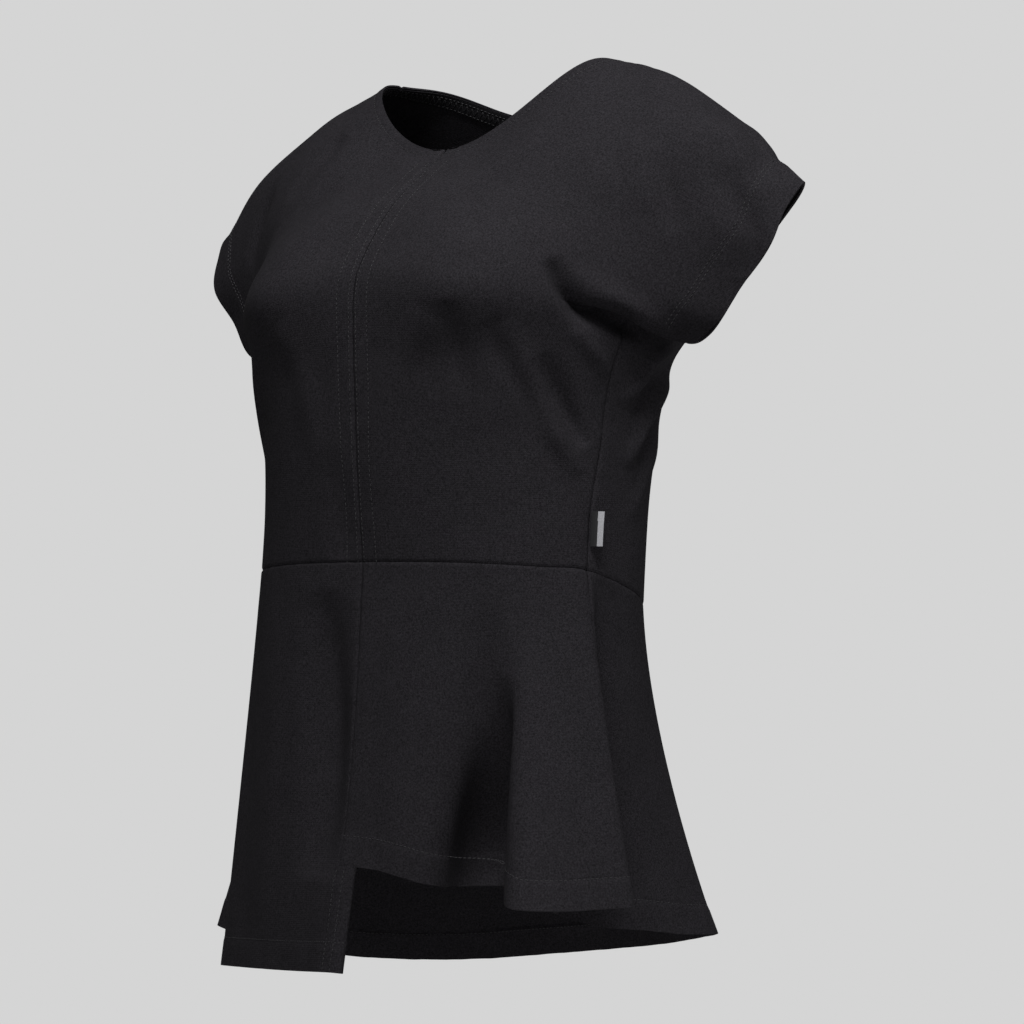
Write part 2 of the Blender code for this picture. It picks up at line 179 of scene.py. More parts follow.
# Folds of the bodice. Each row is one fold: its height in mm, below 0 for a hollow, its half
# width at the two ends, where along it it is strongest, and the points that it runs through.
FOLDS = [
    # wearer's left, front: under the arm, and fanning from the bust to the side
    (-15.0, 7, 6, 0.45, [(131, -122, -146), (141, -117, -167), (147, -107, -181), (155, -86, -186),
                         (159, -52, -192)]),
    (4.5, 9, 8, 0.5, [(146, -112, -150), (156, -98, -168), (168, -74, -180), (176, -50, -192)]),
    (5.6, 10, 6, 0.5, [(108, -147, -188), (119, -127, -234), (128, -112, -262), (136, -98, -290)]),
    (-4.8, 9, 6, 0.5, [(102, -152, -186), (114, -133, -226), (127, -112, -264)]),
    (-5.6, 9, 6, 0.6, [(125, -126, -208), (131, -110, -239), (139, -93, -270)]),
    (-3.2, 9, 7, 0.35, [(79, -168, -174), (80, -158, -206), (85, -151, -240)]),
    (3.6, 13, 9, 0.35, [(64, -170, -181), (41, -166, -211), (27, -165, -242), (13, -163, -292),
                        (4, -160, -345)]),
    (3.4, 6, 5, 0.5, [(141, -111, -191), (145, -95, -206), (147, -78, -222)]),
    (-2.6, 12, 12, 0.6, [(-21, -164, -270), (-18, -162, -308), (-19, -159, -345)]),
    # wearer's left sleeve
    (-4.2, 9, 9, 0.5, [(210, -40, -82), (226, -38, -110), (233, -38, -129), (228, -37, -158)]),
    (2.8, 10, 10, 0.4, [(150, -58, -58), (167, -65, -92), (172, -67, -118)]),
    (-3.4, 9, 8, 0.5, [(166, -56, -72), (181, -59, -101), (188, -59, -128)]),
    (-4.5, 8, 8, 0.5, [(230, -38, -92), (226, -9, -80), (220, 20, -88)]),
    (3.2, 10, 10, 0.5, [(208, -36, -68), (204, -8, -60), (200, 20, -70)]),
    # wearer's left, behind the side seam
    (6.0, 6, 5, 0.6, [(140, 4, -196), (151, -30, -209), (148, -44, -224), (146, -62, -240)]),
    (6.0, 7, 6, 0.6, [(130, 22, -222), (141, -9, -233), (144, -32, -255), (145, -56, -282)]),
    (3.2, 8, 6, 0.6, [(132, 12, -258), (142, -25, -285), (144, -50, -318)]),
    (-5.5, 6, 5, 0.6, [(138, 10, -212), (147, -26, -226), (146, -50, -248)]),
    (-5.5, 7, 6, 0.6, [(132, 16, -240), (143, -20, -254), (145, -44, -280)]),
    # wearer's right, front and shoulder
    (-4.4, 9, 12, 0.4, [(-100, -58, -42), (-116, -72, -64), (-131, -84, -90)]),
    (-9.0, 8, 6, 0.5, [(-131, -124, -152), (-139, -116, -172), (-148, -104, -186), (-158, -80, -190),
                       (-160, -52, -194)]),
    (4.0, 9, 8, 0.5, [(-147, -110, -152), (-158, -94, -170), (-170, -70, -184)]),
    (3.6, 11, 7, 0.5, [(-106, -148, -192), (-118, -130, -232), (-130, -110, -276)]),
    (-3.6, 9, 6, 0.5, [(-124, -128, -204), (-132, -110, -242), (-139, -92, -276)]),
    (2.6, 13, 10, 0.35, [(-66, -170, -186), (-48, -166, -222), (-34, -162, -290)]),
    (-3.0, 9, 8, 0.5, [(-170, -54, -74), (-184, -58, -104), (-190, -56, -134)]),
    # wearer's right, behind the side seam
    (3.8, 7, 6, 0.6, [(-138, 8, -200), (-150, -30, -214), (-146, -62, -246)]),
    (4.0, 8, 6, 0.6, [(-131, 20, -230), (-143, -16, -246), (-145, -54, -290)]),
    (-3.6, 7, 6, 0.6, [(-137, 12, -216), (-147, -24, -232), (-146, -56, -268)]),
    # back: from the sleeves over the shoulder blades, and across the small of the back
    (-4.0, 10, 12, 0.3, [(150, 46, -146), (128, 66, -176), (96, 76, -216)]),
    (3.6, 11, 12, 0.3, [(140, 56, -124), (112, 76, -160), (78, 80, -200)]),
    (-3.6, 10, 13, 0.3, [(-152, 44, -150), (-126, 66, -184), (-92, 76, -228)]),
    (3.4, 11, 12, 0.3, [(-142, 56, -130), (-112, 74, -172), (-80, 78, -210)]),
    (-3.2, 9, 9, 0.5, [(104, 30, -304), (40, 54, -314), (-30, 56, -310), (-92, 36, -298)]),
    (2.8, 10, 10, 0.5, [(112, 30, -278), (40, 62, -292), (-40, 62, -288), (-104, 38, -276)]),
    (-2.4, 9, 9, 0.5, [(96, 30, -346), (30, 46, -356), (-48, 42, -352)]),
]


def dense(line, count=40):
    line = np.array(line, float)
    u = np.linspace(0, len(line) - 1, count)
    return spline(2 * line[0] - line[1], line, 2 * line[-1] - line[-2], u)


def nearest_on(line, points):
    """Distance of each point from a line of points, and the share of the line's length there."""
    flat = points.reshape(-1, 3)
    a, b = line[:-1], line[1:]
    run = b - a
    size = np.linalg.norm(run, axis=1)
    start = np.concatenate([[0], np.cumsum(size)])
    best = np.full(len(flat), 1e9)
    share = np.zeros(len(flat))
    for i in range(len(a)):
        f = np.clip((flat - a[i]) @ run[i] / max(size[i] ** 2, 1e-9), 0, 1)
        d = np.linalg.norm(flat - a[i] - f[:, None] * run[i], axis=1)
        closer = d < best
        best[closer] = d[closer]
        share[closer] = ((start[i] + f * size[i]) / start[-1])[closer]
    return best.reshape(points.shape[:-1]), share.reshape(points.shape[:-1])


def fold_heights(points, folds):
    total = np.zeros(points.shape[:-1])
    for height, wide_start, wide_end, peak, line in folds:
        away, share = nearest_on(dense(line, 24), points)
        width = wide_start + (wide_end - wide_start) * share
        grow = (share / peak) ** (1.6 * peak) * ((1 - share) / (1 - peak)) ** (1.6 * (1 - peak))
        total += height * grow * np.exp(-((away / width) ** 2))
    return total


def outward(points, faces):
    """Unit normals of a quad mesh at its points."""
    a, b, c, d = (points[faces[:, k]] for k in range(4))
    across = np.cross(c - a, d - b)
    normal = np.zeros_like(points)
    for k in range(4):
        np.add.at(normal, faces[:, k], across)
    return normal / np.maximum(np.linalg.norm(normal, axis=1, keepdims=True), 1e-12)


def stepped(length, pitch, extra=()):
    """Shares of a panel's length, close together by its two edges and where else it is asked."""
    near = [SEAM_GAP / 2, 0.5, 1.1, 1.9, 3.0]
    middle = np.linspace(4.5, length - 4.5, max(int((length - 9) / pitch), 2))
    places = np.array(near + list(middle) + [length - d for d in near] + list(extra))
    return np.unique(places.round(4)) / length


def wandering(place, period):
    """An uneven wave along a seam, from -1 to 1."""
    turn = 2 * math.pi * place / period
    return (np.sin(turn) + 0.6 * np.sin(1.63 * turn + 1.1) + 0.4 * np.sin(2.71 * turn + 2.3)) / 2


# Depth and reach of the groove along a seam
SEAM_GROOVE, WAIST_GROOVE = (1.2, 1.3), (0.7, 1.1)


def seam_relief(points, line, depth, reach, pucker=0.25):
    """The groove along a seam, with the small puckers that its stitches make."""
    line = dense(line, len(line))
    away, share = nearest_on(line, points)
    length = np.linalg.norm(np.diff(line, axis=0), axis=1).sum()
    ripple = pucker * wandering(share * length, 21.0) * np.exp(-((away / 9) ** 2))
    return ripple - depth * np.exp(-((away / reach) ** 2))


def hem_relief(away, width, stitch_rows):
    """A turned hem stands a little proud as far as its stitching, which is pulled in."""
    raised = 0.45 / (1 + np.exp((away - width + 1.0) / 0.7))
    return raised - sum(0.4 * np.exp(-(((away - row) / 0.9) ** 2)) for row in stitch_rows)


def jersey(name, colour, speckle):
    """Firm matte double jersey: fine wales, and a heather of lighter and darker fibres."""
    finish = bpy.data.materials.new(name)
    finish.use_nodes = True
    tree = finish.node_tree
    shader = tree.nodes["Principled BSDF"]
    coords = tree.nodes.new("ShaderNodeTexCoord")
    fibres = tree.nodes.new("ShaderNodeTexNoise")
    fibres.inputs["Scale"].default_value = 820.0
    fibres.inputs["Detail"].default_value = 3.0
    fibres.inputs["Roughness"].default_value = 0.75
    patches = tree.nodes.new("ShaderNodeTexNoise")
    patches.inputs["Scale"].default_value = 38.0
    patches.inputs["Detail"].default_value = 3.0
    heather = tree.nodes.new("ShaderNodeValToRGB")
    dark = [c * (1 - speckle) for c in colour]
    light = [c * (1 + speckle) for c in colour]
    heather.color_ramp.elements[0].position = 0.34
    heather.color_ramp.elements[0].color = (*dark, 1)
    heather.color_ramp.elements[1].position = 0.68
    heather.color_ramp.elements[1].color = (*light, 1)
    uneven = tree.nodes.new("ShaderNodeMapRange")
    uneven.inputs["To Min"].default_value = 0.86
    uneven.inputs["To Max"].default_value = 1.14
    tint = tree.nodes.new("ShaderNodeVectorMath")
    tint.operation = "SCALE"
    wales = tree.nodes.new("ShaderNodeTexWave")
    wales.wave_type = "BANDS"
    wales.bands_direction = "X"
    wales.inputs["Scale"].default_value = 22.0
    wales.inputs["Distortion"].default_value = 1.2
    wales.inputs["Detail"].default_value = 1.0
    courses = tree.nodes.new("ShaderNodeTexWave")
    courses.wave_type = "BANDS"
    courses.bands_direction = "Y"
    courses.inputs["Scale"].default_value = 27.0
    courses.inputs["Distortion"].default_value = 1.0
    knit = tree.nodes.new("ShaderNodeMath")
    knit.operation = "MULTIPLY"
    loft = tree.nodes.new("ShaderNodeMath")
    loft.operation = "ADD"
    bump = tree.nodes.new("ShaderNodeBump")
    bump.inputs["Strength"].default_value = 0.5
    bump.inputs["Distance"].default_value = 0.00018
    link = tree.links.new
    link(coords.outputs["Object"], fibres.inputs["Vector"])
    link(coords.outputs["Object"], patches.inputs["Vector"])
    link(coords.outputs["UV"], wales.inputs["Vector"])
    link(coords.outputs["UV"], courses.inputs["Vector"])
    link(fibres.outputs["Fac"], heather.inputs["Fac"])
    link(patches.outputs["Fac"], uneven.inputs["Value"])
    link(heather.outputs["Color"], tint.inputs[0])
    link(uneven.outputs["Result"], tint.inputs["Scale"])
    link(tint.outputs["Vector"], shader.inputs["Base Color"])
    link(wales.outputs["Fac"], knit.inputs[0])
    link(courses.outputs["Fac"], knit.inputs[1])
    link(knit.outputs["Value"], loft.inputs[0])
    link(fibres.outputs["Fac"], loft.inputs[1])
    link(loft.outputs["Value"], bump.inputs["Height"])
    link(bump.outputs["Normal"], shader.inputs["Normal"])
    shader.inputs["Roughness"].default_value = 0.88
    shader.inputs["Specular IOR Level"].default_value = 0.05
    return finish


SAME_POINT = 0.02


def woven_together(patches):
    """Points and quads of patches of a sheet, joined where they share points."""
    points, faces = [], []
    for patch in patches:
        ids = np.arange(patch.shape[0] * patch.shape[1]).reshape(patch.shape[:2]) + sum(map(len, points))
        points.append(patch.reshape(-1, 3))
        corners = [ids[:-1, :-1], ids[:-1, 1:], ids[1:, 1:], ids[1:, :-1]]
        faces.append(np.stack(corners, axis=-1).reshape(-1, 4))
    points, faces = np.concatenate(points), np.concatenate(faces)
    cells = (points / SAME_POINT).round().astype(int)
    _, first, place = np.unique(cells, axis=0, return_index=True, return_inverse=True)
    return points[first], place.reshape(-1)[faces], first


outer_faces, plain_faces = {}, {}


def shell(name, patches, cloth, relief, wall, finish):
    """A panel of cloth from grids of points on its outer face: its relief is raised on them, its
    thickness put on inwards, and its edges rounded. Rows go up and columns anticlockwise."""
    points, faces, first = woven_together(patches)
    outer = points + outward(points, faces) * relief(points)[:, None]
    normal = outward(outer, faces)
    thickness = wall(points)[:, None]
    inner = outer - normal * thickness
    outer_faces[name], plain_faces[name] = (outer, faces), (points, faces)
    runs = np.concatenate([faces[:, [k, (k + 1) % 4]] for k in range(4)])
    known = set(map(tuple, runs.tolist()))
    edge = np.array([run for run in runs.tolist() if (run[1], run[0]) not in known])
    rims, rank = np.unique(edge, return_inverse=True)
    rank = rank.reshape(edge.shape)
    sideways = np.zeros((len(rims), 3))
    for k in range(2):
        np.add.at(sideways, rank[:, k], np.cross(outer[edge[:, 1]] - outer[edge[:, 0]], normal[edge[:, k]]))
    sideways /= np.maximum(np.linalg.norm(sideways, axis=1, keepdims=True), 1e-9)
    bulge = np.minimum(0.3 * thickness[rims], 0.3 * SEAM_GAP)
    rim = outer[rims] - normal[rims] * thickness[rims] / 2 + sideways * bulge
    count, middle = len(outer), rank + 2 * len(outer)
    everything = np.concatenate([
        faces, faces[:, ::-1] + count,
        np.stack([edge[:, 0], middle[:, 0], middle[:, 1], edge[:, 1]], axis=1),
        np.stack([middle[:, 0], edge[:, 0] + count, edge[:, 1] + count, middle[:, 1]], axis=1),
    ])
    mesh = bpy.data.meshes.new(name)
    mesh.from_pydata((np.concatenate([outer, inner, rim]) * 0.001).tolist(), [], everything.tolist())
    # Places along and up the cut cloth, in decimetres, for its knit
    lengths = np.concatenate([c.reshape(-1, 2) for c in cloth])[first] / 100
    lengths = np.concatenate([lengths, lengths, lengths[rims]])
    layer = mesh.uv_layers.new(name="cloth")
    layer.data.foreach_set("uv", lengths[everything.reshape(-1)].ravel())
    mesh.materials.append(finish)
    mesh.shade_smooth()
    mesh.set_sharp_from_angle(angle=math.radians(55))
    piece = bpy.data.objects.new(name, mesh)
    bpy.context.scene.collection.objects.link(piece)
    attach(piece, "root")
    return piece


ends = np.linspace(0, 1, 60)
on_neck = {
    panel: (CENTRE_ROWS[panel] - 1 + ends * (LAST_ROW - CENTRE_ROWS[panel] + 1)) / LAST_ROW
    for panel in net
}
seam_share = (SEAM_ROWS - 1) / LAST_ROW
centre_share = np.linspace(0, (CENTRE_ROWS["front"] - 1) / LAST_ROW, 60)
lines = {"centre_front": leaned(bodice_surface("front", 0.0, centre_share))}
for side, name in ((1, "left"), (-1, "right")):
    flip = (side, 1, 1)
    lines["side_" + name] = leaned(bodice_surface("front", 1.0, ends * seam_share) * flip)
    lines["shoulder_" + name] = leaned(bodice_surface("front", ends, 1.0) * flip)
    for panel in net:
        lines[f"neck_{panel}_{name}"] = leaned(bodice_surface(panel, 0.0, on_neck[panel]) * flip)
        hem_rows_here = seam_share + ends * (1 - seam_share)
        lines[f"sleeve_{panel}_{name}"] = leaned(bodice_surface(panel, 1.0, hem_rows_here) * flip)
        lines[f"waist_{panel}_{name}"] = leaned(bodice_surface(panel, ends, 0.0) * flip)


def bodice_relief(points, seams, necks, sleeves):
    total = fold_heights(points, FOLDS)
    for seam in seams:
        total += seam_relief(points, lines[seam], *WAIST_GROOVE if "waist" in seam else SEAM_GROOVE)
    for neck in necks:
        total += hem_relief(nearest_on(lines[neck], points)[0], 8.0, [7.0])
    for sleeve in sleeves:
        total += hem_relief(nearest_on(lines[sleeve], points)[0], SLEEVE_HEM, SLEEVE_ROWS)
    return total


def bodice_thickness(points, sleeves):
    wall = np.full(points.shape[:-1], CLOTH)
    for sleeve in sleeves:
        away = nearest_on(lines[sleeve], points)[0]
        wall += 0.9 / (1 + np.exp((away - SLEEVE_HEM - 2.0) / 0.3))
    return wall


black = jersey("black_jersey", (0.0185, 0.0172, 0.0198), 0.5)
hem_fold = CUT_HALF_WIDTH - SLEEVE_HEM
across_front = stepped(CUT_HALF_WIDTH, 2.3, [hem_fold - 2.5, hem_fold - 1.5])
up_bodice = stepped(CUT_LENGTH, 2.3)


def bodice_panel(name, node, panel, sides, across):
    """A front, or the two halves of the back, joined down the middle."""
    patches, cloth = [], []
    for side in sides:
        s, t = np.broadcast_arrays(across[None, :], up_bodice[:, None])
        grid = leaned(bodice_surface(panel, s, t) * (side, 1, 1))
        order = slice(None, None, side if panel == "front" else -side)
        patches.append(grid[:, order])
        cloth.append(np.stack([CUT_HALF_WIDTH * side * s, CUT_LENGTH * t], axis=-1)[:, order])
    names = ["left" if side > 0 else "right" for side in sides]
    seams = ["centre_front"] if panel == "front" else []
    for side in names:
        seams += ["side_" + side, "shoulder_" + side, f"waist_{panel}_{side}"]
    necks = [f"neck_{panel}_{side}" for side in names]
    sleeves = [f"sleeve_{panel}_{side}" for side in names]
    piece = shell(name, patches, cloth, lambda points: bodice_relief(points, seams, necks, sleeves),
                  lambda points: bodice_thickness(points, sleeves), black)
    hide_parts(node)


bodice_panel("front_panel_left", "bodice_front_left", "front", [1], across_front)
bodice_panel("front_panel_right", "bodice_front_right", "front", [-1], across_front)
across_back = np.concatenate([[0.0], across_front[1:]])
bodice_panel("back_panel", "bodice_back", "back", [1, -1], across_back)


# Peplum: three flared panels of the same jersey, hung from the waist seam. The front steps at
# the centre: the short left front lies over the lap of the long right one. Its hem is turned up
# once and stitched all round.
PEPLUM_HEM = 20.0
PEPLUM_DROP = 245.0
MM_A_DEGREE = 2.4
HEM = np.array([
    # waist angle from the centre front, x, y, z, flare
    (0.0, 0.0, -184.5, -548.5, 1.35),
    (10.0, 30.0, -181.5, -550.5, 1.25),
    (18.0, 52.0, -180.5, -554.5, 1.1),
    (23.0, 66.0, -177.0, -558.0, 1.15),
    (28.0, 80.0, -163.0, -561.5, 1.3),
    (32.5, 94.0, -145.0, -563.5, 1.4),
    (37.0, 108.0, -148.0, -564.0, 1.4),
    (41.0, 122.0, -163.0, -565.0, 1.4),
    (46.0, 142.0, -184.0, -569.0, 1.4),
    (50.0, 156.0, -184.0, -570.0, 1.35),
    (56.0, 173.0, -166.0, -571.5, 1.25),
    (62.0, 187.0, -138.0, -572.0, 1.15),
    (70.0, 195.0, -118.0, -572.5, 1.05),
    (74.0, 168.0, -105.0, -576.5, 1.0),
    (79.0, 122.0, -104.0, -581.5, 1.0),
    (86.0, 142.0, -82.0, -592.0, 1.1),
    (95.0, 160.0, -56.0, -596.0, 1.45),
    (106.0, 171.0, -22.0, -601.5, 1.5),
    (118.0, 172.0, 13.0, -605.0, 1.5),
    (134.0, 142.0, 48.0, -612.0, 1.5),
    (150.0, 90.0, 72.0, -623.0, 1.2),
    (166.0, 34.0, 83.0, -631.5, 1.2),
    (182.0, -20.0, 84.0, -638.5, 1.2),
    (200.0, -74.0, 75.0, -644.5, 1.2),
    (218.0, -124.0, 58.0, -646.5, 1.2),
    (236.0, -170.0, 30.0, -643.5, 1.2),
    (252.0, -198.0, -18.0, -633.0, 1.2),
    (266.0, -206.0, -76.0, -612.0, 1.2),
    (277.0, -158.0, -88.0, -622.0, 1.1),
    (283.0, -168.0, -98.0, -630.0, 1.05),
    (288.0, -170.0, -108.0, -634.5, 1.0),
    (294.0, -163.0, -119.0, -633.5, 1.0),
    (302.0, -146.0, -131.5, -631.5, 1.0),
    (322.0, -96.0, -157.0, -627.0, 1.1),
    (342.0, -46.0, -177.0, -623.0, 1.25),
    (360.0, 0.0, -197.0, -618.5, 1.35),
    (366.0, 14.5, -197.0, -618.5, 1.35),
])


def waist_line(angles):
    away = (angles + 180) % 360 - 180
    in_front = np.abs(away) <= SIDE_ANGLE
    front_points = bodice_surface("front", np.clip(np.abs(away) / SIDE_ANGLE, 0, 1), 0.0)
    back_points = bodice_surface("back", np.clip((180 - np.abs(away)) / (180 - SIDE_ANGLE), 0, 1), 0.0)
    points = np.where(in_front[:, None], front_points, back_points)
    return points * np.stack([np.where(away < 0, -1, 1), np.ones(len(away)), np.ones(len(away))], axis=1)


def peplum_surface(angles, v):
    tops = waist_line(angles) - (0, 0, SEAM_GAP)
    u = np.interp(angles, HEM[:, 0], np.arange(len(HEM)))
    values = HEM[:, 1:]
    hem = spline(2 * values[0] - values[1], values, 2 * values[-1] - values[-2], u)
    v = np.asarray(v)[:, None]
    swing = v ** hem[:, 3]
    return leaned(tops + (hem[:, :3] - tops) * np.stack([swing, swing, v + 0 * swing], axis=2))


PEPLUM_FOLDS = [
    # front: soft hollow beside the centre seam, and a low roll on either side of it
    (-14.0, 16, 26, 0.55, [(-33, -158, -366), (-27, -165, -440), (-24, -176, -560)]),
    (-36.0, 9, 20, 0.8, [(111, -142, -420), (103, -144, -480), (98, -147, -530), (95, -152, -576)]),
    (1.8, 12, 14, 0.5, [(31, -158, -358), (35, -166, -438), (37, -179, -545)]),
    (-1.6, 10, 12, 0.5, [(58, -152, -380), (60, -162, -460), (56, -180, -540)]),
    (1.8, 14, 18, 0.6, [(-84, -148, -380), (-88, -154, -480), (-86, -160, -610)]),
    (-1.8, 12, 16, 0.6, [(-124, -120, -380), (-130, -130, -480), (-128, -142, -610)]),
    # back
    (-2.4, 12, 20, 0.6, [(100, 20, -400), (116, 44, -500), (122, 58, -600)]),
    (2.2, 12, 20, 0.6, [(60, 34, -404), (66, 58, -500), (70, 76, -610)]),
    (-2.2, 12, 20, 0.6, [(10, 40, -408), (8, 64, -510), (6, 82, -622)]),
    (2.4, 12, 20, 0.6, [(-44, 38, -404), (-50, 60, -510), (-50, 78, -630)]),
    (-2.0, 12, 20, 0.6, [(-92, 24, -398), (-100, 44, -500), (-102, 64, -630)]),
    (2.0, 12, 18, 0.6, [(-126, 0, -384), (-142, 16, -490), (-152, 36, -630)]),
]
seam_lines = {
    angle: peplum_surface(np.array([angle]), np.linspace(0, 1, 50))[:, 0]
    for angle in (0.0, 72.0, 288.0, 360.0)
}


def cut_places(angles, v):
    """Places across and up the cut panel, for its knit."""
    across, up = angles[None] * MM_A_DEGREE, PEPLUM_DROP * (1 - v[:, None])
    return np.stack(np.broadcast_arrays(across, up), axis=-1)


def peplum_panel(name, node, first, last, lap=False):
    """One flared panel between two waist angles. The long front runs on below the short one's
    hem as a lap, past the centre seam."""
    fine = np.linspace(first, last, 400)
    hem_at = peplum_surface(fine, np.array([1.0]))[0]
    arc = np.concatenate([[0], np.cumsum(np.linalg.norm(np.diff(hem_at, axis=0), axis=1))])
    spread = stepped(arc[-1], 2.6)
    angles = 0.6 * np.interp(spread * arc[-1], arc, fine) + 0.4 * (first + spread * (last - first))
    hem_fold = PEPLUM_DROP - PEPLUM_HEM
    v = stepped(PEPLUM_DROP, 2.6, [hem_fold - 2.0, hem_fold - 1.0])
    v[0], v[-1] = 0, 1
    if lap:
        step = (HEM[0, 3] - SEAM_GAP - waist_height(0)) / (HEM[-1, 3] - waist_height(0))
        v = np.unique(np.concatenate([v[np.abs(v - step) > 0.004], [step]]))
        beyond = np.array([angles[-1], 360.8, 361.8, 362.8, 363.8, 364.6, 365.2, 365.7, 366.0])
    patches = [peplum_surface(angles, v)[::-1]]
    cloth = [cut_places(angles, v[::-1])]
    hem_lines = [patches[0][0]]
    seams = [leaned(waist_line(fine))] + [seam_lines[a] for a in (first, last) if not (lap and a == 360.0)]
    if lap:
        below = v[v >= step]
        patches.append(peplum_surface(beyond, below)[::-1])
        cloth.append(cut_places(beyond, below[::-1]))
        hem_lines[0] = np.concatenate([hem_lines[0], patches[1][0]])
        lap_edge = peplum_surface(np.array([366.0]), np.linspace(step, 1, 30))[:, 0]
        seams.append(seam_lines[360.0][seam_lines[360.0][:, 2] > patches[1][-1, 0, 2]])

    def relief(points):
        total = fold_heights(points, PEPLUM_FOLDS)
        for i, seam in enumerate(seams):
            total += seam_relief(points, seam, *SEAM_GROOVE if i else WAIST_GROOVE)
        away, share = nearest_on(hem_lines[0], points)
        total += hem_relief(away, PEPLUM_HEM + 1.5, [PEPLUM_HEM])
        total += 0.5 * wandering(share * arc[-1], 34.0) * np.exp(-((away / 16) ** 2))
        if lap:
            total += hem_relief(nearest_on(lap_edge, points)[0], 19.0, [9.0, 18.0])
        return total

    def wall(points):
        away = nearest_on(hem_lines[0], points)[0]
        return CLOTH + 0.9 / (1 + np.exp((away - PEPLUM_HEM - 1.5) / 0.3))

    piece = shell(name, patches, cloth, relief, wall, black)
    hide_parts(node)


peplum_panel("peplum_panel_left", "peplum_front_left", 0.0, 72.0)
peplum_panel("peplum_panel_back", "peplum_back", 72.0, 288.0)
peplum_panel("peplum_panel_right", "peplum_front_right", 288.0, 360.0,
             lap=True)


# Neck band: the neckline is turned in and covered inside by a narrow strip of the same jersey,
# overlocked along its lower edge, where the loops of thread cross between two rows.
def tree_of(pieces):
    points = np.concatenate([part for part, _ in pieces.values()])
    starts = np.cumsum([0] + [len(part) for part, _ in pieces.values()])
    faces = np.concatenate([part + start for (_, part), start in zip(pieces.values(), starts)])
    return BVHTree.FromPolygons(points.tolist(), faces.tolist())


whole_cloth, plain_cloth = tree_of(outer_faces), tree_of(plain_faces)
neck_ring = np.concatenate([
    lines["neck_front_left"], lines["neck_back_left"][::-1],
    lines["neck_back_right"], lines["neck_front_right"][::-1],
])
neck_ring = neck_ring[np.concatenate([[True], np.linalg.norm(np.diff(neck_ring, axis=0), axis=1) > 0.3])]


def even(line, pitch):
    """The same line with its points an even distance apart, about the pitch."""
    run = np.concatenate([[0], np.cumsum(np.linalg.norm(np.diff(line, axis=0), axis=1))])
    places = np.linspace(0, run[-1], max(int(run[-1] / pitch), 2) + 1)
    return np.stack([np.interp(places, run, line[:, k]) for k in range(3)], axis=1)


def beside(edge, distance, inwards, pitch=3.0, depth=0.0):
    """Points on the cloth at a distance from an edge, with the cloth's normal at each. The
    cloth lies from the edge towards inwards: a point, or a rule that gives one for each."""
    edge = even(edge, pitch)
    ahead = np.gradient(edge, axis=0)
    aim = np.broadcast_to(inwards(edge) if callable(inwards) else inwards, edge.shape)
    points, normals = [], []
    for at, along, target in zip(edge, ahead, aim):
        place, normal, _, _ = plain_cloth.find_nearest(tuple(at))
        for _ in range(4):
            side = np.cross(along, np.array(normal))
            side /= np.linalg.norm(side)
            side *= np.sign(side @ (target - at)) or 1.0
            place, normal, _, _ = plain_cloth.find_nearest(tuple(np.array(place) + side * distance / 4))
        normal = np.array(normal)
        on_cloth, _, _, _ = whole_cloth.ray_cast(tuple(np.array(place) + 6 * normal), tuple(-normal), 14.0)
        points.append(np.array(on_cloth if on_cloth else place) - normal * depth)
        normals.append(normal)
    return np.array(points), np.array(normals)


def band(name, node, rows, thickness, finish):
    """A closed strip of cloth through rows of points, one row for each line along it."""
    grid = np.array(rows)
    grid = np.concatenate([grid, grid[:, :1]], axis=1)
    along = np.linspace(0, 640, grid.shape[1])
    cloth = [np.stack(np.broadcast_arrays(along[None], np.linspace(0, 12, len(rows))[:, None]), axis=-1)]
    piece = shell(name, [grid], cloth, lambda p: np.zeros(len(p)),
                  lambda p: np.full(len(p), thickness), finish)
    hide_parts(node)
    return piece


def from_neck(edge):
    """The cloth lies outwards from the neck's opening, and down."""
    return edge * (2, 2, 1) - (0, 0, 60)


neck_rows = []
for away in (12.5, 9.0, 5.0, 2.0, 0.9):
    points, _ = beside(neck_ring, away, from_neck, 2.5, CLOTH + 0.55)
    neck_rows.append(points[:-1])
# The band is the same jersey with its colour made darker: painted shade inside the neck opening.
binding = jersey("black_binding", (0.0125, 0.0120, 0.0135), 0.4)
neck_band = band("neck_band", "neck_facing", neck_rows, 0.6, binding)


# Flag label: a short loop of satin ribbon caught in the wearer's left side seam, left bare, with
# one plain pale stripe along its free edge.
def satin(name, colour, roughness):
    finish = bpy.data.materials.new(name)
    finish.use_nodes = True
    tree = finish.node_tree
    shader = tree.nodes["Principled BSDF"]
    coords = tree.nodes.new("ShaderNodeTexCoord")
    weave = tree.nodes.new("ShaderNodeTexNoise")
    weave.inputs["Scale"].default_value = 1400.0
    tone = tree.nodes.new("ShaderNodeValToRGB")
    tone.color_ramp.elements[0].color = (*[c * 0.75 for c in colour], 1)
    tone.color_ramp.elements[1].color = (*[c * 1.25 for c in colour], 1)
    bump = tree.nodes.new("ShaderNodeBump")
    bump.inputs["Strength"].default_value = 0.3
    bump.inputs["Distance"].default_value = 0.0001
    tree.links.new(coords.outputs["Object"], weave.inputs["Vector"])
    tree.links.new(weave.outputs["Fac"], tone.inputs["Fac"])
    tree.links.new(weave.outputs["Fac"], bump.inputs["Height"])
    tree.links.new(tone.outputs["Color"], shader.inputs["Base Color"])
    tree.links.new(bump.outputs["Normal"], shader.inputs["Normal"])
    shader.inputs["Roughness"].default_value = roughness
    return finish


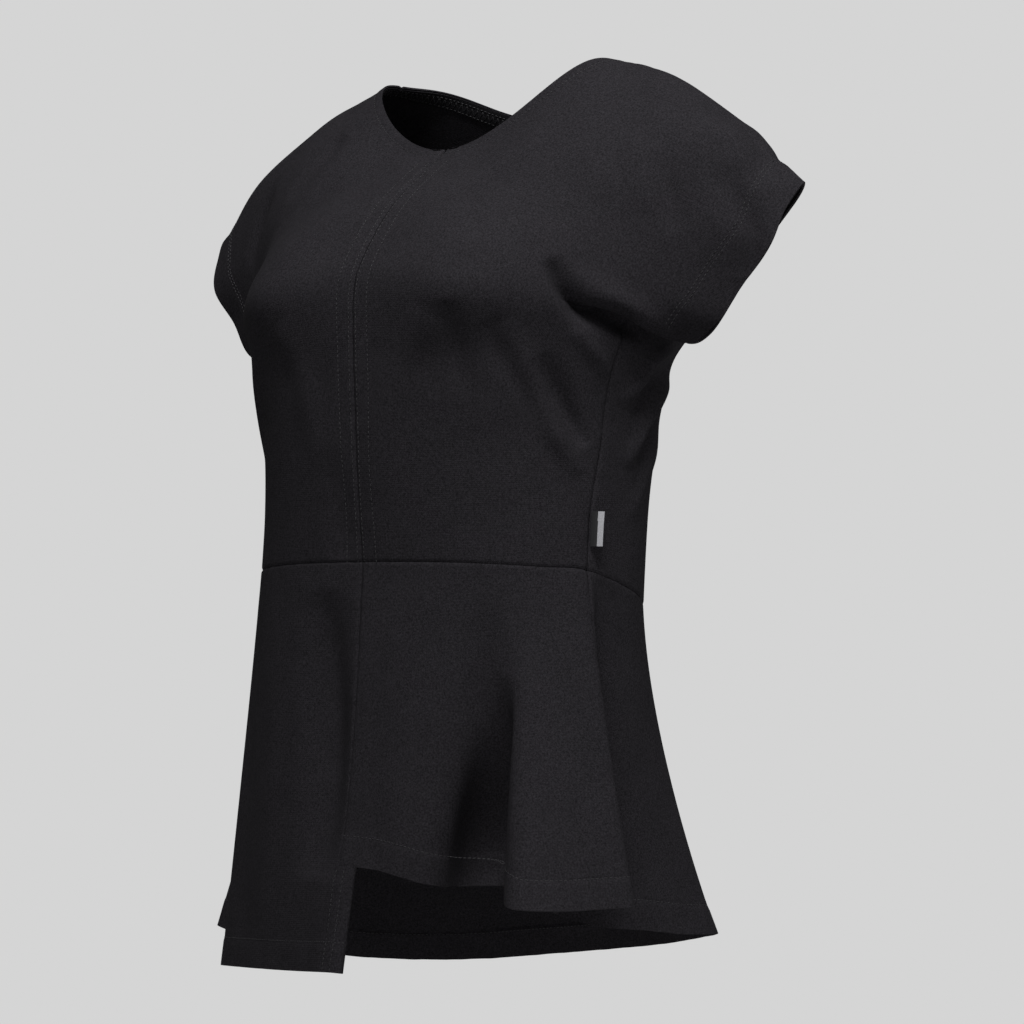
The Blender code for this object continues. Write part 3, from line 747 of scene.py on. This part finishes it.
ribbon = satin("black_ribbon", (0.012, 0.012, 0.013), 0.5)
pale_ribbon = satin("pale_stripe", (0.34, 0.34, 0.36), 0.6)
RIBBON, STRIPE_START = 0.7, 5.6
low_corner, high_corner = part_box("side_label")
side_seam = lines["side_left"]
label_heights = np.linspace(low_corner[2] * 1000 + 0.6, high_corner[2] * 1000 - 0.6, 12)
feet = np.stack([np.interp(label_heights, side_seam[:, 2], side_seam[:, k]) for k in range(3)], axis=1)
lean = math.radians(10.0)
out = np.array([math.cos(lean), math.sin(lean), 0.0])
across_label = np.array([0.7, 1.6, 3.0, 4.6, 5.4, 5.8, 7.2, 8.4, 9.2, 9.7])
curl = 0.5 * np.sin(across_label / 9.7 * math.pi)
bow = curl[None, :, None] * np.array([-out[1], out[0], 0]) * -1
grid = feet[:, None] + across_label[None, :, None] * out + bow
cloth = [np.stack(np.broadcast_arrays(across_label[None], label_heights[:, None]), axis=-1)]
label = shell("side_flag", [grid], cloth, lambda p: np.zeros(len(p)),
              lambda p: np.full(len(p), RIBBON), ribbon)
label.data.materials.append(pale_ribbon)
for face in label.data.polygons:
    if (np.array(face.center) * 1000 - feet.mean(axis=0)) @ out > STRIPE_START:
        face.material_index = 1
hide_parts("side_label")


# Stitching: rows of polyester thread, a little glossier than the cloth. Twin rows hold the
# sleeve hems and the centre seam, single rows the neckline and the peplum's hem.
thread = satin("black_thread", (0.0145, 0.0138, 0.016), 0.65)


def stitch_tree():
    """Lays one bead of thread at each step along a line, flat on the cloth."""
    tree = bpy.data.node_groups.new("row_of_stitches", "GeometryNodeTree")
    for title, kind, value in (("Line", "NodeSocketGeometry", None), ("Pitch", "NodeSocketFloat", 0.0032),
                               ("Length", "NodeSocketFloat", 0.0024), ("Width", "NodeSocketFloat", 0.0006),
                               ("Slant", "NodeSocketFloat", 0.0), ("Thread", "NodeSocketMaterial", None)):
        socket = tree.interface.new_socket(title, in_out="INPUT", socket_type=kind)
        if value is not None:
            socket.default_value = value
    tree.interface.new_socket("Stitches", in_out="OUTPUT", socket_type="NodeSocketGeometry")
    given = tree.nodes.new("NodeGroupInput").outputs
    link = tree.links.new

    def node(kind, **settings):
        made = tree.nodes.new(kind)
        for key, value in settings.items():
            setattr(made, key, value)
        return made

    curve = node("GeometryNodeMeshToCurve")
    steps = node("GeometryNodeResampleCurve", mode="LENGTH")
    link(given["Line"], curve.inputs["Mesh"])
    link(curve.outputs["Curve"], steps.inputs["Curve"])
    link(given["Pitch"], steps.inputs["Length"])
    bead = node("GeometryNodeMeshUVSphere")
    bead.inputs["Segments"].default_value = 6
    bead.inputs["Rings"].default_value = 4
    bead.inputs["Radius"].default_value = 0.5
    size = node("ShaderNodeCombineXYZ")
    link(given["Length"], size.inputs["X"])
    link(given["Width"], size.inputs["Y"])
    link(given["Width"], size.inputs["Z"])
    shaped = node("GeometryNodeTransform")
    link(bead.outputs["Mesh"], shaped.inputs["Geometry"])
    link(size.outputs["Vector"], shaped.inputs["Scale"])
    tangent = node("GeometryNodeInputTangent")
    cloth_normal = node("GeometryNodeInputNamedAttribute", data_type="FLOAT_VECTOR")
    cloth_normal.inputs["Name"].default_value = "cloth_normal"
    facing = node("FunctionNodeAxesToRotation", primary_axis="X", secondary_axis="Z")
    link(tangent.outputs["Tangent"], facing.inputs["Primary Axis"])
    link(cloth_normal.outputs["Attribute"], facing.inputs["Secondary Axis"])
    index = node("GeometryNodeInputIndex")
    parity = node("ShaderNodeMath", operation="MODULO")
    parity.inputs[1].default_value = 2.0
    link(index.outputs["Index"], parity.inputs[0])
    sign = node("ShaderNodeMath", operation="MULTIPLY_ADD")
    sign.inputs[1].default_value = 2.0
    sign.inputs[2].default_value = -1.0
    link(parity.outputs["Value"], sign.inputs[0])
    slant = node("ShaderNodeMath", operation="MULTIPLY")
    link(sign.outputs["Value"], slant.inputs[0])
    link(given["Slant"], slant.inputs[1])
    turn = node("ShaderNodeCombineXYZ")
    link(slant.outputs["Value"], turn.inputs["Z"])
    turned = node("FunctionNodeRotateRotation", rotation_space="LOCAL")
    link(facing.outputs["Rotation"], turned.inputs["Rotation"])
    link(turn.outputs["Vector"], turned.inputs["Rotate By"])
    tension = node("FunctionNodeRandomValue", data_type="FLOAT")
    tension.inputs[2].default_value = 0.88
    tension.inputs[3].default_value = 1.08
    tension.inputs["Seed"].default_value = 7
    laid = node("GeometryNodeInstanceOnPoints")
    link(steps.outputs["Curve"], laid.inputs["Points"])
    link(shaped.outputs["Geometry"], laid.inputs["Instance"])
    link(turned.outputs["Rotation"], laid.inputs["Rotation"])
    link(tension.outputs[1], laid.inputs["Scale"])
    real = node("GeometryNodeRealizeInstances")
    finish = node("GeometryNodeSetMaterial")
    link(laid.outputs["Instances"], real.inputs["Geometry"])
    link(real.outputs["Geometry"], finish.inputs["Geometry"])
    link(given["Thread"], finish.inputs["Material"])
    link(finish.outputs["Geometry"], tree.nodes.new("NodeGroupOutput").inputs[0])
    return tree


row_of_stitches = stitch_tree()


def stitches(name, rows, pitch=3.2, length=2.5, width=0.62, slant=0.0):
    """One piece for a group of stitch rows, each given as points and the cloth's normals."""
    points = np.concatenate([row[0] for row in rows])
    normals = np.concatenate([row[1] for row in rows])
    ids = np.cumsum([0] + [len(row[0]) for row in rows])
    edges = [(i, i + 1) for first, last in zip(ids, ids[1:]) for i in range(first, last - 1)]
    mesh = bpy.data.meshes.new(name)
    mesh.from_pydata((points * 0.001).tolist(), edges, [])
    layer = mesh.attributes.new("cloth_normal", "FLOAT_VECTOR", "POINT")
    layer.data.foreach_set("vector", normals.ravel())
    piece = bpy.data.objects.new(name, mesh)
    bpy.context.scene.collection.objects.link(piece)
    rule = piece.modifiers.new("stitches", "NODES")
    rule.node_group = row_of_stitches
    values = {"Pitch": pitch / 1000, "Length": length / 1000, "Width": width / 1000,
              "Slant": slant, "Thread": thread}
    for socket in row_of_stitches.interface.items_tree:
        if socket.in_out == "INPUT" and socket.name in values:
            rule[socket.identifier] = values[socket.name]
    shown = piece.evaluated_get(bpy.context.evaluated_depsgraph_get())
    made = bpy.data.meshes.new_from_object(shown)
    piece.modifiers.clear()
    piece.data = made
    made.name = name
    made.shade_smooth()
    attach(piece, "root")


# How deep the thread lies from the outer face: just above it, under the band and under a hem
ON_TOP, UNDER_BAND, UNDER_HEM = -0.05, CLOTH + 1.25, CLOTH + 0.95
stitches("neck_stitching", [beside(neck_ring, 7.0, from_neck, 3.0, ON_TOP)])
inner_rows = [beside(neck_ring, away, from_neck, 3.0, UNDER_BAND) for away in (3.5, 11.0)]
stitches("neck_band_stitching", inner_rows, width=0.7)
overlock_row = beside(neck_ring, 7.2, from_neck, 3.0, UNDER_BAND)
stitches("neck_overlock", [overlock_row], pitch=2.2, length=7.0, width=0.5, slant=1.25)

sleeve_rows = []
for side, name in ((1, "left"), (-1, "right")):
    shoulder = np.array([side * 120.0, -10.0, -70.0])
    for away in SLEEVE_ROWS:
        for part in ("front", "back"):
            line = lines[f"sleeve_{part}_{name}"]
            sleeve_rows.append(beside(line[1:-1], away, shoulder, 3.0, ON_TOP))
stitches("sleeve_hem_stitching", sleeve_rows)

centre = lines["centre_front"]
centre_rows = []
for side in (1, -1):
    for away in (3.0, 13.0):
        aside = np.array([side * 300.0, -160.0, -250.0])
        centre_rows.append(beside(centre[:-2], away, aside, 3.0, ON_TOP))
stitches("centre_seam_stitching", centre_rows)

hems = {
    "left": peplum_surface(np.linspace(0.4, 71.6, 160), np.array([1.0]))[0],
    "back": peplum_surface(np.linspace(72.4, 287.6, 420), np.array([1.0]))[0],
    "right": peplum_surface(np.linspace(288.4, 365.5, 160), np.array([1.0]))[0],
}


def up_the_fall(edge):
    """The peplum lies up from its hem."""
    return edge * (0.7, 0.7, 1) + (0, 0, 120)


hem_rows, hem_inner = [], []
for line in hems.values():
    hem_rows.append(beside(line, PEPLUM_HEM, up_the_fall, 3.0, ON_TOP))
    hem_inner.append(beside(line, PEPLUM_HEM, up_the_fall, 3.0, UNDER_HEM))
stitches("hem_stitching", hem_rows)
stitches("hem_inner_stitching", hem_inner)

lap_edge = peplum_surface(np.array([366.0]), np.linspace(0.76, 0.995, 30))[:, 0]
aside = np.array([-200.0, -190.0, -590.0])
lap_rows = [beside(lap_edge, away, aside, 3.0, ON_TOP) for away in (9.0, 18.0)]
stitches("lap_stitching", lap_rows)


# Stage, lights and camera: a pale round floor below the hanging blouse, a wide soft key from above
# the front, two weaker lights, a pale backdrop, and the view of the photograph.
FLOOR_RADIUS, FLOOR_HEIGHT = 1.5, -1.02
floor_mesh = bpy.data.meshes.new("floor")
ring = [
    (FLOOR_RADIUS * math.cos(a), FLOOR_RADIUS * math.sin(a), FLOOR_HEIGHT)
    for a in np.linspace(0, 2 * math.pi, 96, endpoint=False)
]
floor_mesh.from_pydata(ring, [], [list(range(96))])
floor = bpy.data.objects.new("floor", floor_mesh)
bpy.context.scene.collection.objects.link(floor)
pale = bpy.data.materials.new("pale_floor")
pale.use_nodes = True
pale.node_tree.nodes["Principled BSDF"].inputs["Base Color"].default_value = (0.62, 0.62, 0.62, 1)
pale.node_tree.nodes["Principled BSDF"].inputs["Roughness"].default_value = 0.9
floor_mesh.materials.append(pale)

world = bpy.data.worlds.new("studio")
bpy.context.scene.world = world
world.use_nodes = True
backdrop = world.node_tree.nodes["Background"]
backdrop.inputs["Color"].default_value = (0.665, 0.665, 0.665, 1)
seen = world.node_tree.nodes.new("ShaderNodeLightPath")
level = world.node_tree.nodes.new("ShaderNodeMapRange")
level.inputs["To Min"].default_value = 0.16
level.inputs["To Max"].default_value = 1.0
world.node_tree.links.new(seen.outputs["Is Camera Ray"], level.inputs["Value"])
world.node_tree.links.new(level.outputs["Result"], backdrop.inputs["Strength"])
bpy.context.scene.view_settings.view_transform = "Standard"


def soft_light(name, place, target, size, power):
    lamp = bpy.data.lights.new(name, "AREA")
    lamp.shape = "DISK"
    lamp.size = size
    lamp.energy = power
    holder = bpy.data.objects.new(name, lamp)
    bpy.context.scene.collection.objects.link(holder)
    aim = np.array(target) - np.array(place)
    yaw = math.atan2(-aim[0], aim[1])
    tilt = math.atan2(math.hypot(aim[0], aim[1]), -aim[2])
    holder.location = place
    holder.rotation_euler = (tilt, 0, yaw)


soft_light("key", (0.62, -0.95, 1.6), (0, -0.05, -0.3), 1.0, 54)
soft_light("front", (0.6, -2.4, 0.1), (0, -0.05, -0.3), 1.4, 5)
soft_light("side", (2.2, 0.6, 0.4), (0, -0.05, -0.3), 1.2, 12)

lens = bpy.data.cameras.new("camera")
lens.sensor_width = 36.0
lens.lens = 110.6
lens.clip_end = 20.0
camera = bpy.data.objects.new("camera", lens)
bpy.context.scene.collection.objects.link(camera)
camera.location = (1.3559, -1.7898, -0.313)
camera.rotation_euler = (math.pi / 2, 0, math.radians(37.0))
bpy.context.scene.camera = camera
